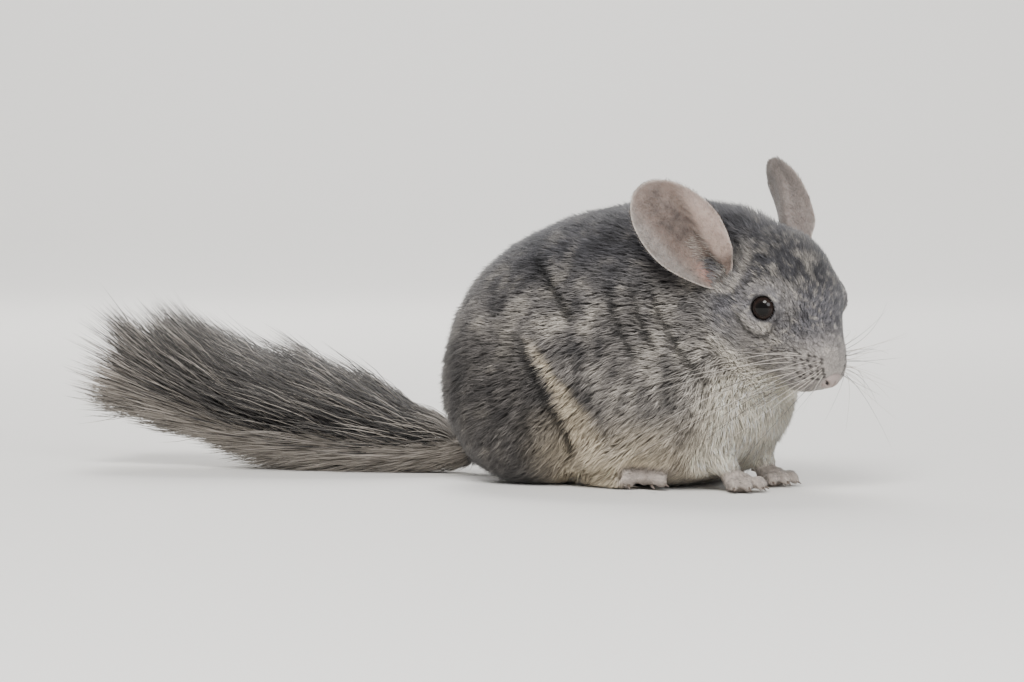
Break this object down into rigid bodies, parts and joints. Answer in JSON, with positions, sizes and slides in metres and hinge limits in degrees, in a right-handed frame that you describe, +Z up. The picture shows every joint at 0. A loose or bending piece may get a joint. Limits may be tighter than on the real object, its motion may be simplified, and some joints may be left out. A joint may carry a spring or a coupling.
{
  "type": "chinchilla figure",
  "caption": "Life-size still model of a crouching grey chinchilla, its head turned to one side, round cupped ears up and its bushy tail swept back and raised at the end",
  "frame": {"origin": "the middle of the footprint, on the floor the animal rests on", "axes": "+X the way the chest faces, +Y the animal's left, +Z up"},
  "size_m": [0.3144, 0.1148, 0.1239],
  "materials": {
    "grey_fur": "matte",
    "face_fur": "matte",
    "pale_fur": "matte",
    "tail_fur": "matte",
    "ear_skin": "satin",
    "paw_skin": "satin",
    "eye": "gloss"
  },
  "bodies": {
    "root": {"torso": "grey_fur", "neck": "grey_fur", "head": "face_fur", "tail": "tail_fur", "ear_right": "ear_skin", "eye_right": "eye", "thigh_right": "grey_fur", "hind_foot_right": "paw_skin", "foreleg_right": "pale_fur", "forepaw_right": "paw_skin", "ear_left": "ear_skin", "eye_left": "eye", "thigh_left": "grey_fur", "hind_foot_left": "paw_skin", "foreleg_left": "pale_fur", "forepaw_left": "paw_skin"}
  },
  "joints": []
}
